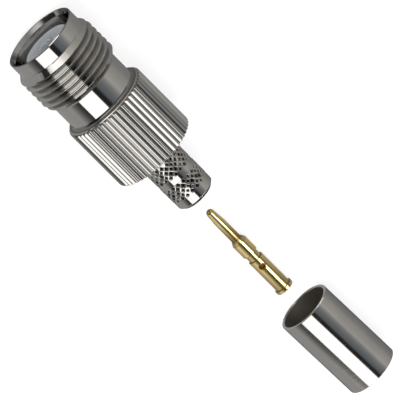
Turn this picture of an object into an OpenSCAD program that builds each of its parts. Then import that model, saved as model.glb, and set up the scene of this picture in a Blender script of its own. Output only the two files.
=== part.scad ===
// Crimp-type threaded coaxial jack, shown as the kit that it comes as: the body with its
// insulator and crimp post, the centre contact and the crimp ferrule, lying in line on a table.
// Millimetres. X runs along the kit towards the mouth, Z is up, the table is at z = 0.

/* [Nose and thread] */
// Major diameter of the coupling thread
thread_d = 10.95; // [10.8:0.05:11.1]
// Step down from the thread's crests to the plain nose
nose_step = 0.635; // [0.55:0.005:0.75]
// Length of the plain nose in front of the thread
nose_len = 1.82; // [1.2:0.02:3]
// Pitch of the coupling thread
thread_pitch = 0.907; // [0.7:0.001:1]
// Depth of the coupling thread
thread_depth = 0.5; // [0.3:0.02:0.5]
// Length of the threaded stretch with its end chamfers
thread_len = 5.9; // [4:0.1:8]
// Length of each chamfer at the ends of the thread
thread_chamfer = 0.82; // [0.6:0.02:1]

/* [Mouth] */
// Width of the flat lip round the mouth
lip_width = 0.24; // [0.15:0.01:0.3]
// Depth of the lead-in bevel inside the lip
bevel_depth = 0.55; // [0.3:0.05:0.8]
// How far the bevel narrows the mouth, on each side
bevel_step = 0.25; // [0.15:0.01:0.3]
// Depth from the lip to the end of the taper behind the bevel
taper_depth = 2.6; // [2:0.1:3.5]
// How far the taper narrows the mouth, on each side
taper_step = 0.27; // [0.2:0.01:0.35]
// Depth of the outer contact's bore from the lip
contact_bore_depth = 5.3; // [4.5:0.1:7]

/* [Neck and barrel] */
// Step down from the thread's crests to the neck behind it
neck_step = 0.695; // [0.6:0.005:0.85]
// Length of the neck with the fillet at its foot
neck_len = 3.53; // [2.5:0.05:5]
// Radius of the fillet at the neck's foot
neck_fillet = 0.42; // [0.2:0.02:0.6]
// Diameter over the straight knurl
barrel_d = 11.34; // [11.2:0.02:12]
// Length of the knurled barrel
barrel_len = 9.13; // [7:0.1:12]
// Chamfer at the two ends of the barrel
barrel_chamfer = 0.14; // [0.05:0.01:0.25]
// Number of ridges of the straight knurl
ridge_count = 48; // [40:2:60]
// Depth of the grooves between the ridges
ridge_depth = 0.21; // [0.12:0.01:0.3]
// Width of the land on each ridge
ridge_land = 0.16; // [0.1:0.01:0.3]
// Width of the floor of each groove
groove_floor = 0.08; // [0.04:0.01:0.2]

/* [Crimp post] */
// Diameter of the plain stretches of the crimp stub
stub_d = 5.3; // [5:0.05:5.6]
// Length of the crimp stub behind the barrel
stub_len = 7.82; // [7.2:0.05:9]
// Chamfer at the stub's free end
stub_chamfer = 0.2; // [0.1:0.02:0.3]
// How far the knurled bands stand proud of the stub
band_rise = 0.04; // [0.02:0.01:0.08]
// Bore of the crimp post, for the cable's dielectric
post_bore_d = 4.1; // [3.6:0.05:4.2]
// Diameter of the post's shank inside the barrel
shank_d = 8.2; // [7.6:0.05:8.4]
// Length of the post's shank inside the barrel
shank_len = 4.5; // [3.5:0.1:5]
// Distance from the barrel to the middle of the first knurled band
band_start = 2.22; // [1.8:0.02:2.4]
// Distance between the middles of the two knurled bands
band_spacing = 2.98; // [2.6:0.02:3]
// Number of pits round the stub in each row of the diamond knurl
pit_count = 20; // [16:1:22]
// Number of staggered rows of pits in each band
pit_rows = 5; // [3:1:5]
// Distance between neighbouring rows of pits
pit_row_spacing = 0.42; // [0.4:0.01:0.44]
// Width of each pit across its corners
pit_width = 0.62; // [0.4:0.02:0.66]
// Depth of each pit
pit_depth = 0.2; // [0.1:0.01:0.25]

/* [Insulator] */
// Free space for the plug between the insulator and the outer contact's bore
plug_space = 0.86; // [0.7:0.01:1]
// Depth of the insulator's face below the lip
insulator_recess = 1.15; // [0.8:0.05:2]
// Length of the insulator's collar behind the shell's web
collar_len = 3; // [2:0.1:4]
// Radial clearance of the insulator in the shell
insulator_gap = 0.03; // [0.01:0.01:0.08]
// Rounding at the edges of the insulator's face
insulator_edge = 0.12; // [0.05:0.01:0.2]

/* [Centre contact] */
// Diameter of the contact's barrel and shoulder
contact_d = 2.04; // [1.9:0.02:2.2]
// Diameter of the pin
pin_d = 1.32; // [1.2:0.01:1.4]
// Diameter of the pin where its taper meets the round tip
pin_tip_d = 1.06; // [0.9:0.02:1.15]
// Length of the round tip
pin_tip_len = 0.56; // [0.3:0.02:0.8]
// Length of the taper behind the tip
pin_taper_len = 1.68; // [1:0.02:2.4]
// Length of the cylindrical stretch of the pin
pin_len = 2.62; // [2:0.02:4]
// Length of the cone between pin and shoulder
cone_len = 0.77; // [0.4:0.02:1]
// Length of the shoulder
shoulder_len = 2.02; // [1.4:0.02:3]
// Diameter at the bottom of the groove
groove_d = 1.67; // [1.66:0.01:1.8]
// Length of the groove
groove_len = 0.92; // [0.5:0.02:1.4]
// Length of the crimp barrel in front of the flange
crimp_len = 4.94; // [4.4:0.02:6]
// Diameter of the flange at the rear
flange_d = 2.43; // [2.3:0.01:2.6]
// Thickness of the flange
flange_len = 0.5; // [0.3:0.02:0.7]
// Bore for the cable's centre conductor
wire_bore_d = 1.46; // [1:0.02:1.5]
// Depth of the bore for the centre conductor
wire_bore_depth = 5; // [4.6:0.1:5.2]
// Diameter of the inspection hole
inspection_d = 0.86; // [0.6:0.02:1]
// Distance of the inspection hole from the contact's rear face
inspection_place = 4.34; // [3.6:0.02:4.5]
// Turn of the inspection hole away from straight up
inspection_turn = 8; // [-90:1:90]
// Radial clearance of the contact in the insulator
contact_gap = 0.03; // [0.01:0.01:0.08]

/* [Crimp ferrule] */
// Outer diameter of the ferrule
ferrule_d = 7.15; // [7:0.05:7.6]
// Bore of the ferrule
ferrule_bore_d = 6.4; // [6:0.05:6.6]
// Length of the ferrule
ferrule_len = 12.05; // [9:0.05:15]
// Chamfer at the ferrule's edges
ferrule_chamfer = 0.07; // [0.03:0.01:0.12]

/* [Places on the table] */
// Free length between the stub and the contact's tip
contact_space = 4.07; // [2:0.05:10]
// Free length between the contact and the ferrule
ferrule_space = 2.43; // [1:0.05:8]
// Sideways place of the contact
contact_side = 0.42; // [-2:0.02:2]
// Sideways place of the ferrule's middle
ferrule_side = 0.28; // [-2:0.02:2]
// Turn of the ferrule on the table
ferrule_turn = 1.7; // [-8:0.1:8]

/* [Hidden] */
// Overshoot of every cut past the face that it opens
over = 0.5;
round_fn = 96;
small_fn = 48;

// Diameters that step down from the thread's
nose_d = thread_d - 2 * nose_step;
neck_d = thread_d - 2 * neck_step;
lip_inner_d = nose_d - 2 * lip_width;
bevel_d = lip_inner_d - 2 * bevel_step;
contact_bore_d = bevel_d - 2 * taper_step;
insulator_d = contact_bore_d - 2 * plug_space;

// Heights along the body's own axis, counted from the barrel's rear face towards the mouth
neck_z = barrel_len;
thread_z = neck_z + neck_len;
nose_z = thread_z + thread_len;
lip_z = nose_z + nose_len;
bore_floor_z = lip_z - contact_bore_depth;
web_z = shank_len + collar_len;
web_bore_d = insulator_d + 2 * insulator_gap;
insulator_face_z = lip_z - insulator_recess;
// The cut in front of the lip goes on along the bevel's own slope
bevel_open_d = lip_inner_d + (lip_inner_d - bevel_d) * over / bevel_depth;

// Thread: a 60 degree form, with as many grooves as fit between the end chamfers
flank_half = thread_depth * tan(30);
crest_land = (thread_pitch - 2 * flank_half) / 3;
root_half = (thread_pitch - crest_land - 2 * flank_half) / 2;
thread_room = thread_len - thread_chamfer;
thread_turns = floor(thread_room / thread_pitch);
thread_first_z = thread_z + (thread_len - (thread_turns - 1) * thread_pitch) / 2;

// Straight knurl: half angles of a land and of a groove's floor, seen from the axis
ridge_pitch = 360 / ridge_count;
land_half = asin(ridge_land / barrel_d);
floor_half = asin(groove_floor / (barrel_d - 2 * ridge_depth));

// Diamond knurl
band_d = stub_d + 2 * band_rise;
band_len = (pit_rows - 1) * pit_row_spacing + 0.5;

// Contact, counted from its rear face towards the tip
shoulder_z = flange_len + crimp_len + groove_len;
cone_z = shoulder_z + shoulder_len;
pin_z = cone_z + cone_len;
taper_z = pin_z + pin_len;
tip_z = taper_z + pin_taper_len;
contact_len = tip_z + pin_tip_len;
flange_edge = 0.05;
contact_hole_d = contact_d + 2 * contact_gap;
flange_seat_d = flange_d + 2 * contact_gap;

// The body lies on two neighbouring ridges, with a groove between them underneath
body_height = barrel_d / 2 * cos(ridge_pitch / 2 - land_half);
// The contact lies on its flange and on the front edge of its shoulder
contact_tilt = atan((flange_d - contact_d) / 2 / (cone_z - flange_edge));
contact_height = (flange_d / 2) * cos(contact_tilt) + flange_edge * sin(contact_tilt);
ferrule_span = ferrule_len * cos(ferrule_turn) + ferrule_d * abs(sin(ferrule_turn));
body_len = lip_z + stub_len;
kit_len = body_len + contact_space + contact_len + ferrule_space + ferrule_span;
body_x = kit_len / 2 - lip_z;
contact_x = body_x - stub_len - contact_space - contact_len;
ferrule_x = contact_x - ferrule_space - ferrule_span / 2;

// Turns a piece made along Z so that it lies along X
module lay_down(x, side, height) {
    translate([x, side, height]) rotate([0, 90, 0]) children();
}

// Outline of the nose, the thread's blank and the neck, from the axis outwards
module front_profile() {
    polygon([
        [0, 0],
        [neck_d / 2, 0],
        [neck_d / 2, thread_z],
        [thread_d / 2, thread_z + thread_chamfer],
        [thread_d / 2, nose_z - thread_chamfer],
        [nose_d / 2, nose_z],
        [nose_d / 2, lip_z],
        [0, lip_z]
    ]);
}

// One groove of the thread, cut deeper than the crest by the thread's depth
module thread_groove(z) {
    slope = flank_half / thread_depth;
    translate([0, z]) polygon([
        [thread_d / 2 - thread_depth, -root_half],
        [thread_d / 2 + over, -root_half - (thread_depth + over) * slope],
        [thread_d / 2 + over, root_half + (thread_depth + over) * slope],
        [thread_d / 2 - thread_depth, root_half]
    ]);
}

module front_turning() {
    rotate_extrude($fn = round_fn) difference() {
        front_profile();
        for (i = [0 : thread_turns - 1])
            thread_groove(thread_first_z + i * thread_pitch);
    }
}

// Concave fillet that leads from the neck to the barrel's front face
module foot_fillet() {
    rotate_extrude($fn = round_fn) difference() {
        translate([0, neck_z - over])
            square([neck_d / 2 + neck_fillet, neck_fillet + over]);
        translate([neck_d / 2 + neck_fillet, neck_z + neck_fillet])
            circle(r = neck_fillet, $fn = small_fn);
    }
}

// Toothed outline of the straight knurl, a groove centred on each multiple of the pitch
function on_ring(r, a) = [r * cos(a), r * sin(a)];
knurl_outline = [
    for (i = [0 : ridge_count - 1])
        let (a = i * ridge_pitch, crest = barrel_d / 2, floor_r = barrel_d / 2 - ridge_depth)
            each [
                on_ring(floor_r, a - floor_half),
                on_ring(floor_r, a + floor_half),
                on_ring(crest, a + ridge_pitch / 2 - land_half),
                on_ring(crest, a + ridge_pitch / 2 + land_half)
            ]
];

module knurled_barrel() {
    intersection() {
        linear_extrude(barrel_len) polygon(knurl_outline);
        rotate_extrude($fn = round_fn) polygon([
            [0, 0],
            [barrel_d / 2 - barrel_chamfer, 0],
            [barrel_d / 2 + over, barrel_chamfer + over],
            [barrel_d / 2 + over, barrel_len - barrel_chamfer - over],
            [barrel_d / 2 - barrel_chamfer, barrel_len],
            [0, barrel_len]
        ]);
    }
}

// Everything that is bored out of the shell, front and rear
module shell_bores() {
    rotate_extrude($fn = round_fn) polygon([
        [0, lip_z + over],
        [bevel_open_d / 2, lip_z + over],
        [bevel_d / 2, lip_z - bevel_depth],
        [contact_bore_d / 2, lip_z - taper_depth],
        [contact_bore_d / 2, bore_floor_z],
        [web_bore_d / 2, bore_floor_z],
        [web_bore_d / 2, web_z],
        [shank_d / 2, web_z],
        [shank_d / 2, -over],
        [0, -over]
    ]);
}

module connector_shell() {
    color("silver") lay_down(body_x, 0, body_height) difference() {
        union() {
            front_turning();
            foot_fillet();
            knurled_barrel();
        }
        shell_bores();
    }
}

// Turned insulator: a slim front with a rounded face, and a collar behind the shell's web
module insulator() {
    front_r = insulator_d / 2;
    hole_r = contact_hole_d / 2;
    color("whitesmoke") lay_down(body_x, 0, body_height) rotate_extrude($fn = round_fn) difference() {
        union() {
            translate([0, shank_len]) square([shank_d / 2 - insulator_gap, collar_len]);
            translate([0, shank_len])
                square([front_r, insulator_face_z - shank_len - insulator_edge]);
            translate([0, shank_len])
                square([front_r - insulator_edge, insulator_face_z - shank_len]);
            translate([front_r - insulator_edge, insulator_face_z - insulator_edge])
                circle(r = insulator_edge, $fn = small_fn);
        }
        translate([-over, shank_len - over])
            square([hole_r + over, insulator_face_z - shank_len + 2 * over]);
        // Seat for the contact's flange
        translate([-over, shank_len - over])
            square([flange_seat_d / 2 + over, flange_len + over]);
        // Lead-in chamfer of the hole in the face
        translate([0, insulator_face_z]) polygon([
            [0, over],
            [hole_r + insulator_edge + over, over],
            [hole_r, -insulator_edge],
            [0, -insulator_edge]
        ]);
    }
}

// One pit of the diamond knurl: two V cuts that cross and meet in a point below the surface
module pit() {
    side = pit_width * 2;
    intersection_for (turn = [-45, 45])
        translate([0, 0, band_d / 2 - pit_depth])
            rotate([0, 0, turn])
                rotate([90, 0, 0])
                    linear_extrude(side, center = true)
                        polygon([
                            [0, 0],
                            [side, side * pit_depth / (pit_width * sqrt(0.125))],
                            [-side, side * pit_depth / (pit_width * sqrt(0.125))]
                        ]);
}

module pit_band(middle) {
    for (row = [0 : pit_rows - 1])
        for (i = [0 : pit_count - 1])
            rotate([0, 0, (i + (row % 2) / 2) * 360 / pit_count])
                translate([0, 0, middle + (row - (pit_rows - 1) / 2) * pit_row_spacing])
                    rotate([0, 90, 0])
                        pit();
}

module crimp_post() {
    color("silver") lay_down(body_x, 0, body_height) difference() {
        rotate_extrude($fn = round_fn) polygon([
            [post_bore_d / 2, -stub_len],
            [stub_d / 2 - stub_chamfer, -stub_len],
            [stub_d / 2, -stub_len + stub_chamfer],
            [stub_d / 2, -band_start - band_spacing - band_len / 2 - band_rise],
            [band_d / 2, -band_start - band_spacing - band_len / 2],
            [band_d / 2, -band_start - band_spacing + band_len / 2],
            [stub_d / 2, -band_start - band_spacing + band_len / 2 + band_rise],
            [stub_d / 2, -band_start - band_len / 2 - band_rise],
            [band_d / 2, -band_start - band_len / 2],
            [band_d / 2, -band_start + band_len / 2],
            [stub_d / 2, -band_start + band_len / 2 + band_rise],
            [stub_d / 2, 0],
            [shank_d / 2, 0],
            [shank_d / 2, shank_len],
            [post_bore_d / 2, shank_len]
        ]);
        pit_band(-band_start);
        pit_band(-band_start - band_spacing);
    }
}

// Outline of the contact from its rear face to the start of the round tip
module contact_profile() {
    r = contact_d / 2;
    polygon([
        [0, 0],
        [flange_d / 2 - flange_edge, 0],
        [flange_d / 2, flange_edge],
        [flange_d / 2, flange_len - flange_edge],
        [flange_d / 2 - flange_edge, flange_len],
        [r, flange_len],
        [r, flange_len + crimp_len],
        [groove_d / 2, flange_len + crimp_len],
        [groove_d / 2, shoulder_z],
        [r, shoulder_z],
        [r, cone_z],
        [pin_d / 2, pin_z],
        [pin_d / 2, taper_z],
        [pin_tip_d / 2, tip_z],
        // The tip is a quarter of an ellipse
        for (a = [15 : 15 : 75]) [pin_tip_d / 2 * cos(a), tip_z + pin_tip_len * sin(a)],
        [0, contact_len]
    ]);
}

module centre_contact() {
    color("goldenrod") lay_down(contact_x, contact_side, contact_height)
        rotate([0, contact_tilt, 0])
            difference() {
                rotate_extrude($fn = small_fn) contact_profile();
                // Drilled from the rear, with the drill's point at the bottom
                rotate_extrude($fn = small_fn) polygon([
                    [0, -over],
                    [wire_bore_d / 2, -over],
                    [wire_bore_d / 2, wire_bore_depth],
                    [0, wire_bore_depth + wire_bore_d / 2 * tan(31)]
                ]);
                translate([0, 0, inspection_place]) rotate([0, 0, 180 - inspection_turn])
                    rotate([0, 90, 0]) cylinder(d = inspection_d, h = contact_d, $fn = small_fn);
            }
}

module crimp_ferrule() {
    outer = ferrule_d / 2;
    inner = ferrule_bore_d / 2;
    e = ferrule_chamfer;
    color("silver") translate([ferrule_x, ferrule_side, outer]) rotate([0, 0, ferrule_turn])
        rotate([0, 90, 0]) rotate_extrude($fn = round_fn) polygon([
            [inner, e - ferrule_len / 2],
            [inner + e, -ferrule_len / 2],
            [outer - e, -ferrule_len / 2],
            [outer, e - ferrule_len / 2],
            [outer, ferrule_len / 2 - e],
            [outer - e, ferrule_len / 2],
            [inner + e, ferrule_len / 2],
            [inner, ferrule_len / 2 - e]
        ]);
}

connector_shell();
insulator();
crimp_post();
centre_contact();
crimp_ferrule();
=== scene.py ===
import bmesh
import bpy
import math
import numpy as np
from mathutils import Matrix, Vector


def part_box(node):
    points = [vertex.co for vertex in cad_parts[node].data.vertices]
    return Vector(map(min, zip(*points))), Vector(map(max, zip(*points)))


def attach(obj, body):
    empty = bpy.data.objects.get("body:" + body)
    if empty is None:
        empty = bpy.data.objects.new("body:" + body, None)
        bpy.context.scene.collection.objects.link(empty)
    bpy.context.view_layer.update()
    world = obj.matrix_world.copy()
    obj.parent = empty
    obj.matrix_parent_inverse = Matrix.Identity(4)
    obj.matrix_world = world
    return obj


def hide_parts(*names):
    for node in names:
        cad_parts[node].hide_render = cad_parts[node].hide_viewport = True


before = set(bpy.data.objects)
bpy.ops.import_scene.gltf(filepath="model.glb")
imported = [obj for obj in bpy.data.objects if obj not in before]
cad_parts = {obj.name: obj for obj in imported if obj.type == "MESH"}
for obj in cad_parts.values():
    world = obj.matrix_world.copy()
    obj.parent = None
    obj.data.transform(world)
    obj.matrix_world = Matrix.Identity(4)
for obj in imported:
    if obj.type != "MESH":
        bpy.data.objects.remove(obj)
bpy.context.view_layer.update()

mm = 0.001
tau = 2 * math.pi
print("frame loaded:", sorted(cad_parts))


# places of the three separate things on the table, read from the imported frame

def nodeSpan(node):
    low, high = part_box(node)
    return np.array(low) / mm, np.array(high) / mm


shellLow, shellHigh = nodeSpan("connector_shell")
postLow, postHigh = nodeSpan("crimp_post")
contactLow, contactHigh = nodeSpan("centre_contact")
ferruleLow, ferruleHigh = nodeSpan("crimp_ferrule")

bodyAxis = {        # the connector's own axis: where its barrel ends at the rear, and its height
    "rearX": shellLow[0],
    "side": (postLow[1] + postHigh[1]) / 2,
    "height": (postLow[2] + postHigh[2]) / 2,
}
contactSide = (contactLow[1] + contactHigh[1]) / 2
ferruleAxis = {
    "midX": (ferruleLow[0] + ferruleHigh[0]) / 2,
    "side": (ferruleLow[1] + ferruleHigh[1]) / 2,
    "height": (ferruleLow[2] + ferruleHigh[2]) / 2,
}


# mesh tools: profiles with rounded corners, carried round an axis

def roundedProfile(corners, steps=5, support=0.04):
    # A polyline through corners (z, r, radius): each corner becomes an arc of that radius,
    # tangent to both sides, sampled in equal angles, with a point a little way along each side so
    # that the flats keep their own normals. radius 0 keeps the corner sharp.
    pts = [np.array(c[:2], float) for c in corners]
    out = []
    n = len(pts)
    for i, (z, r, radius) in enumerate(corners):
        here = pts[i]
        if radius <= 0 or i in (0, n - 1):
            out.append(here)
            continue
        a = pts[i - 1] - here
        b = pts[i + 1] - here
        la, lb = np.linalg.norm(a), np.linalg.norm(b)
        a, b = a / la, b / lb
        half = math.acos(max(-1.0, min(1.0, float(a @ b)))) / 2
        cut = min(radius / math.tan(half), 0.42 * la, 0.42 * lb)
        radius = cut * math.tan(half)
        middle = here + (a + b) / np.linalg.norm(a + b) * radius / math.sin(half)
        start, end = here + a * cut - middle, here + b * cut - middle
        turn = math.atan2(start[0] * end[1] - start[1] * end[0], start @ end)
        out.append(here + a * (cut + min(support, 0.3 * (la - 2 * cut) + 1e-4)))
        for t in np.linspace(0, turn, steps):
            c, s = math.cos(t), math.sin(t)
            out.append(middle + np.array([c * start[0] - s * start[1], s * start[0] + c * start[1]]))
        out.append(here + b * (cut + min(support, 0.3 * (lb - 2 * cut) + 1e-4)))
    return np.array(out)


def ringQuads(rows, cols, closed):
    # Quads between neighbouring rings of a rows by cols grid whose columns wrap round;
    # closed also joins the last ring to the first.
    last = rows if closed else rows - 1
    i = np.arange(last)[:, None]
    j = np.arange(cols)[None, :]
    i2 = (i + 1) % rows
    j2 = (j + 1) % cols
    quads = np.stack([i * cols + j, i * cols + j2, i2 * cols + j2, i2 * cols + j], axis=-1)
    return quads.reshape(-1, 4)


def alongX(z, r, angle, rearX, side, height):
    # Points at distance z along an axis that lies along X, at radius r from it and at angle
    # from straight up, positive towards -Y, which is the right of the picture.
    return np.stack([rearX + z, side - r * np.sin(angle), height + r * np.cos(angle)], axis=-1)


def onBody(z, r, angle):
    # The same round the connector's own axis, as a plain list of points.
    return alongX(z, r, angle, bodyAxis["rearX"], bodyAxis["side"], bodyAxis["height"]).reshape(-1, 3)


def evenAngles(columns):
    return np.arange(columns) / columns * tau


def turnedGrid(profile, angles):
    # A profile (z, r) carried round its axis: place along it, radius and angle of every point.
    z, a = np.meshgrid(profile[:, 0], angles, indexing="ij")
    return z, np.repeat(profile[:, 1][:, None], len(angles), axis=1), a


def poleFans(rows, cols):
    # Triangles from two end points, which are numbered after the grid's own, to its first and
    # last rings.
    j = np.arange(cols)
    last = (rows - 1) * cols
    first = np.stack([np.full(cols, rows * cols), (j + 1) % cols, j], axis=-1)
    second = np.stack([np.full(cols, rows * cols + 1), last + j, last + (j + 1) % cols], axis=-1)
    return np.concatenate([first, second])


def linkObject(name, data):
    obj = bpy.data.objects.new(name, data)
    bpy.context.scene.collection.objects.link(obj)
    return obj


def signedVolume(verts, tris):
    a, b, c = verts[tris[:, 0]], verts[tris[:, 1]], verts[tris[:, 2]]
    return float(np.einsum("ij,ij->i", a, np.cross(b, c)).sum() / 6)


def addMesh(name, verts, quads, tris=None, sharpAngle=35, shadeAndDull=None):
    # Makes a mesh object from points in millimetres. Faces are turned outwards by the sign
    # of the enclosed volume, and edges sharper than sharpAngle degrees stay crisp. The last argument is
    # 0..1 for every point: how deep it lies in a groove or corner, where painted shade darkens the colour
    #                       and the finish is rougher.
    verts = np.asarray(verts, float)
    faces = [quads] if tris is None else [quads, tris]
    halves = [quads[:, [0, 1, 2]], quads[:, [0, 2, 3]]] + faces[1:]
    centred = verts - verts.mean(axis=0)
    if signedVolume(centred, np.concatenate(halves)) < 0:
        faces = [f[:, ::-1] for f in faces]
    mesh = bpy.data.meshes.new(name)
    loops = np.concatenate([f.ravel() for f in faces]).astype(np.int32)
    sizes = np.concatenate([np.full(len(f), f.shape[1]) for f in faces]).astype(np.int32)
    starts = np.concatenate([[0], np.cumsum(sizes)[:-1]]).astype(np.int32)
    mesh.vertices.add(len(verts))
    mesh.vertices.foreach_set("co", (verts * mm).astype(np.float32).ravel())
    mesh.loops.add(len(loops))
    mesh.loops.foreach_set("vertex_index", loops)
    mesh.polygons.add(len(sizes))
    mesh.polygons.foreach_set("loop_start", starts)
    mesh.update(calc_edges=True)
    mesh.validate()
    smoothFaces(mesh, sharpAngle)
    layer = mesh.attributes.new("shadeAndDull", "FLOAT", "POINT")
    if shadeAndDull is not None:
        layer.data.foreach_set("value", np.asarray(shadeAndDull, np.float32))
    return linkObject(name, mesh)


def smoothFaces(mesh, sharpAngle):
    mesh.polygons.foreach_set("use_smooth", np.ones(len(mesh.polygons), bool))
    mesh.set_sharp_from_angle(angle=math.radians(sharpAngle))


def smoothStep(x):
    x = np.clip(x, 0, 1)
    return x * x * (3 - 2 * x)


def easedRamp(t, ease):
    # 0 below 0, 1 above 1 and straight between; both bends are parabolas that reach ease to
    # each side: (t + ease) squared over four times ease.
    def bend(x):
        return np.where(x < ease, np.clip(x + ease, 0, None) ** 2 / (4 * ease), x)
    return bend(t) - bend(t - 1)


def weldMesh(obj, distance=0.0002):
    # Joins points that lie on each other (distance in millimetres) and drops empty faces.
    work = bmesh.new()
    work.from_mesh(obj.data)
    bmesh.ops.remove_doubles(work, verts=work.verts, dist=distance * mm)
    bmesh.ops.dissolve_degenerate(work, edges=work.edges, dist=distance * mm)
    work.to_mesh(obj.data)
    work.free()


# shared shader groups

def newGroup(name, inputs, outputs):
    group = bpy.data.node_groups.new(name, "ShaderNodeTree")
    for label, kind, value in inputs:
        socket = group.interface.new_socket(name=label, in_out="INPUT", socket_type=kind)
        if value is not None:
            socket.default_value = value
    for label, kind in outputs:
        group.interface.new_socket(name=label, in_out="OUTPUT", socket_type=kind)
    return group, group.nodes.new("NodeGroupInput"), group.nodes.new("NodeGroupOutput")


def mathNode(tree, operation, a, b=None, c=None, clamp=False):
    node = tree.nodes.new("ShaderNodeMath")
    node.operation = operation
    node.use_clamp = clamp
    for i, value in enumerate((a, b, c)):
        if value is None:
            continue
        if isinstance(value, (int, float)):
            node.inputs[i].default_value = value
        else:
            tree.links.new(value, node.inputs[i])
    return node.outputs[0]


def noiseNode(tree, vector, scale, detail=2.0, roughness=0.5):
    node = tree.nodes.new("ShaderNodeTexNoise")
    node.inputs["Scale"].default_value = scale
    node.inputs["Detail"].default_value = detail
    node.inputs["Roughness"].default_value = roughness
    tree.links.new(vector, node.inputs["Vector"])
    return node.outputs["Fac"]


def buildLatheGroup():
    # Fine turning lines: noise that is stretched round the axis, so it changes only along it,
    # and a slow mottle of the plating. Gives a height, a roughness change and a tint mask.
    group, gin, gout = newGroup(
        "latheFinish",
        [("Coordinate", "NodeSocketVector", None), ("Lines", "NodeSocketFloat", 9000.0),
         ("Mottle", "NodeSocketFloat", 260.0)],
        [("Height", "NodeSocketFloat"), ("Rough", "NodeSocketFloat"), ("Tint", "NodeSocketFloat")])
    split = group.nodes.new("ShaderNodeSeparateXYZ")
    group.links.new(gin.outputs["Coordinate"], split.inputs[0])
    join = group.nodes.new("ShaderNodeCombineXYZ")
    group.links.new(mathNode(group, "MULTIPLY", split.outputs["X"], gin.outputs["Lines"]), join.inputs["X"])
    for axis in "YZ":
        group.links.new(mathNode(group, "MULTIPLY", split.outputs[axis], 30.0), join.inputs[axis])
    lines = noiseNode(group, join.outputs[0], 1.0, 3.0, 0.6)
    mottleNode = group.nodes.new("ShaderNodeTexNoise")
    group.links.new(gin.outputs["Coordinate"], mottleNode.inputs["Vector"])
    group.links.new(gin.outputs["Mottle"], mottleNode.inputs["Scale"])
    mottleNode.inputs["Detail"].default_value = 4.0
    group.links.new(lines, gout.inputs["Height"])
    patches = mathNode(group, "MULTIPLY", mottleNode.outputs["Fac"], 0.4)
    rough = mathNode(group, "MULTIPLY_ADD", lines, 0.6, patches)
    group.links.new(rough, gout.inputs["Rough"])
    group.links.new(mottleNode.outputs["Fac"], gout.inputs["Tint"])
    return group


latheGroup = buildLatheGroup()


def rampNode(tree, factor, low, high):
    # Maps factor 0..1 to a span of values.
    return mathNode(tree, "MULTIPLY_ADD", factor, high - low, low)


def mixColours(tree, factor, first, second):
    # first and second are linear colours or sockets that give one.
    node = tree.nodes.new("ShaderNodeMix")
    node.data_type = "RGBA"
    tree.links.new(factor, node.inputs["Factor"])
    for label, value in (("A", first), ("B", second)):
        if isinstance(value, tuple):
            node.inputs[label].default_value = (*value, 1)
        else:
            tree.links.new(value, node.inputs[label])
    return node.outputs["Result"]


def newMaterial(name):
    material = bpy.data.materials.new(name)
    material.use_nodes = True
    return material, material.node_tree, material.node_tree.nodes["Principled BSDF"]


def turnedMaterial(name, look):
    # A turned surface: base colour with a faint mottle, which is darkened as painted shade and rougher in
    # grooves and corners, roughness that follows the turning lines, and a very small bump.
    material, tree, shader = newMaterial(name)
    shader.inputs["Metallic"].default_value = look["metallic"]
    coords = tree.nodes.new("ShaderNodeTexCoord")
    finish = tree.nodes.new("ShaderNodeGroup")
    finish.node_tree = latheGroup
    finish.inputs["Lines"].default_value = look["lines"]
    finish.inputs["Mottle"].default_value = look["mottle"]
    tree.links.new(coords.outputs["Object"], finish.inputs["Coordinate"])
    # the groove attribute: where it is high, the colour is mixed towards a dark colour as painted shade and
    # the roughness rises
    depth = tree.nodes.new("ShaderNodeAttribute")
    depth.attribute_name = "shadeAndDull"
    bright = mixColours(tree, finish.outputs["Tint"], look["colourLow"], look["colourHigh"])
    colour = mixColours(tree, depth.outputs["Fac"], bright, look["paintedShadeColour"])
    tree.links.new(colour, shader.inputs["Base Color"])
    polished = rampNode(tree, finish.outputs["Rough"], look["roughLow"], look["roughHigh"])
    rough = mathNode(tree, "MULTIPLY_ADD", depth.outputs["Fac"], look["cavityRough"], polished)
    tree.links.new(rough, shader.inputs["Roughness"])
    bump = tree.nodes.new("ShaderNodeBump")
    bump.inputs["Strength"].default_value = look["bump"]
    bump.inputs["Distance"].default_value = 0.00002
    tree.links.new(finish.outputs["Height"], bump.inputs["Height"])
    tree.links.new(bump.outputs[0], shader.inputs["Normal"])
    return material


nickelLook = {
    "metallic": 1.0,
    "colourLow": (0.50, 0.485, 0.46),
    "colourHigh": (0.60, 0.585, 0.555),
    "roughLow": 0.03,
    "roughHigh": 0.10,
    "lines": 9000.0,
    "mottle": 300.0,
    "bump": 0.05,
    # the dark colour painted into grooves and corners as shade
    "paintedShadeColour": (0.035, 0.032, 0.028),
    "cavityRough": 0.12,
}
shellMetal = turnedMaterial("shell_nickel_metal", nickelLook)
postMetal = turnedMaterial("post_nickel_metal", {**nickelLook, "roughHigh": 0.14})
ferruleMetal = turnedMaterial("ferrule_nickel_metal", {**nickelLook, "roughLow": 0.05, "roughHigh": 0.14})
# the tube's inside isn't polished: rougher, and its colour is darker and warmer as painted shade
tubeShadedInsideMetal = turnedMaterial("ferrule_inside_shaded_metal", {
    **nickelLook,
    "colourLow": (0.31, 0.285, 0.25),
    "colourHigh": (0.38, 0.35, 0.31),
    "roughLow": 0.34,
    "roughHigh": 0.42,
})
goldMetal = turnedMaterial("contact_gold_metal", {
    **nickelLook,
    "colourLow": (0.84, 0.64, 0.27),
    "colourHigh": (0.92, 0.73, 0.34),
    "roughLow": 0.04,
    "roughHigh": 0.12,
    # the dark colour painted into the contact's corners and onto its cone as shade
    "paintedShadeColour": (0.10, 0.055, 0.012),
    "cavityRough": 0.30,
})


drilledLook = {
    "metallic": 0.5,
    "colourLow": (0.66, 0.43, 0.08),
    "colourHigh": (0.82, 0.56, 0.13),
    "grain": 6000.0,
}


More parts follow.
